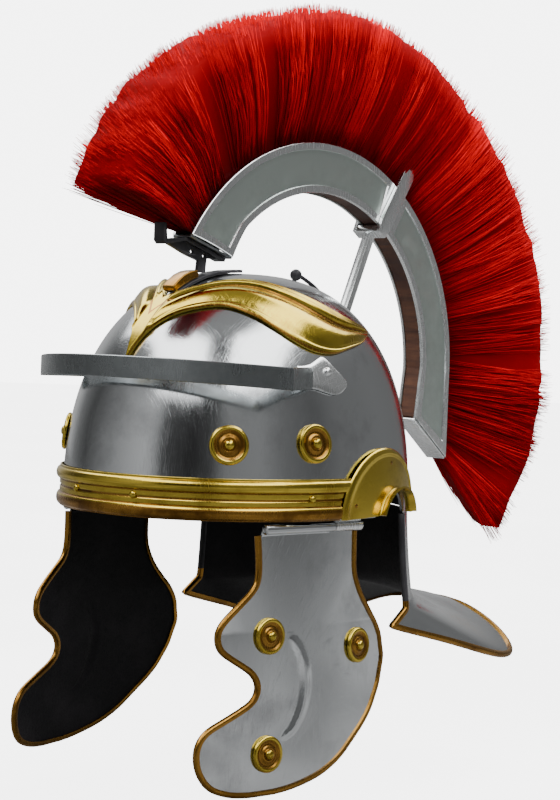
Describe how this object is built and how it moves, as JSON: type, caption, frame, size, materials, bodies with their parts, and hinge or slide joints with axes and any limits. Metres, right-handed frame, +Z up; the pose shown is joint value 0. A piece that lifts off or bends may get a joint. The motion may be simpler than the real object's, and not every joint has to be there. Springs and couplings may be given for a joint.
{
  "type": "plumed roman legionary helmet",
  "caption": "Steel roman legionary helmet with brass rim and brow plates, hinged cheek guards, flared neck guard and a crest box with a fan of red plume.",
  "frame": {"origin": "inside of the crown, in the middle, where the helmet rests on the head", "axes": "+Z up, -Y the way the wearer faces, +X the wearer's left"},
  "size_m": [0.2198, 0.4861, 0.4996],
  "materials": {
    "polished_steel": "polished, mirror-like with fine wear",
    "satin_steel": "satin grey-green",
    "dark_steel": "dark satin",
    "brass": "polished, golden with brown shading",
    "black_iron": "blackened, semi-matte",
    "stained_wood": "dark stained, matte",
    "red_hair": "soft dyed fibre"
  },
  "bodies": {
    "helmet": {"bowl": "polished_steel", "neck_guard": "polished_steel", "neck_guard_edging": "brass", "rim_band": "brass", "band_rivet_brow_left": "brass", "band_rivet_brow_right": "brass", "band_rivet_side_left": "brass", "band_rivet_side_right": "brass", "ear_guard_left": "brass", "ear_guard_right": "brass", "ear_rivet_upper_left": "brass", "ear_rivet_upper_right": "brass", "ear_rivet_lower_left": "brass", "ear_rivet_lower_right": "brass", "brow_plate": "brass", "brow_guard": "dark_steel", "brow_rivet_left": "polished_steel", "brow_rivet_right": "polished_steel", "bowl_rosette_front_left": "brass", "bowl_rosette_front_right": "brass", "bowl_rosette_rear_left": "brass", "bowl_rosette_rear_right": "brass", "hinge_leaf_left": "polished_steel", "hinge_leaf_right": "polished_steel", "hinge_pin_left": "polished_steel", "hinge_pin_right": "polished_steel", "crest_side_left": "satin_steel", "crest_side_right": "satin_steel", "crest_core": "stained_wood", "crest_cap_front": "satin_steel", "crest_cap_rear": "satin_steel", "crest_fork": "satin_steel", "crown_strip": "black_iron", "crown_socket": "brass", "crest_hook": "black_iron", "rear_hook": "black_iron", "plume": "red_hair"},
    "cheek_guard_left": {"cheek_plate_left": "polished_steel", "cheek_edging_left": "brass", "cheek_rosette_front_left": "brass", "cheek_rosette_rear_left": "brass", "cheek_rosette_low_left": "brass"},
    "cheek_guard_right": {"cheek_plate_right": "polished_steel", "cheek_edging_right": "brass", "cheek_rosette_front_right": "brass", "cheek_rosette_rear_right": "brass", "cheek_rosette_low_right": "brass"}
  },
  "joints": [
    {"name": "cheek_hinge_left", "type": "hinge", "parent": "helmet", "child": "cheek_guard_left", "pos_m": [0.095, 0, -0.1528], "axis": [-0.1115, -0.9938, 0], "range_deg": [-15, 95]},
    {"name": "cheek_hinge_right", "type": "hinge", "parent": "helmet", "child": "cheek_guard_right", "pos_m": [-0.095, 0, -0.1528], "axis": [-0.1115, 0.9938, 0], "range_deg": [-15, 95]}
  ]
}
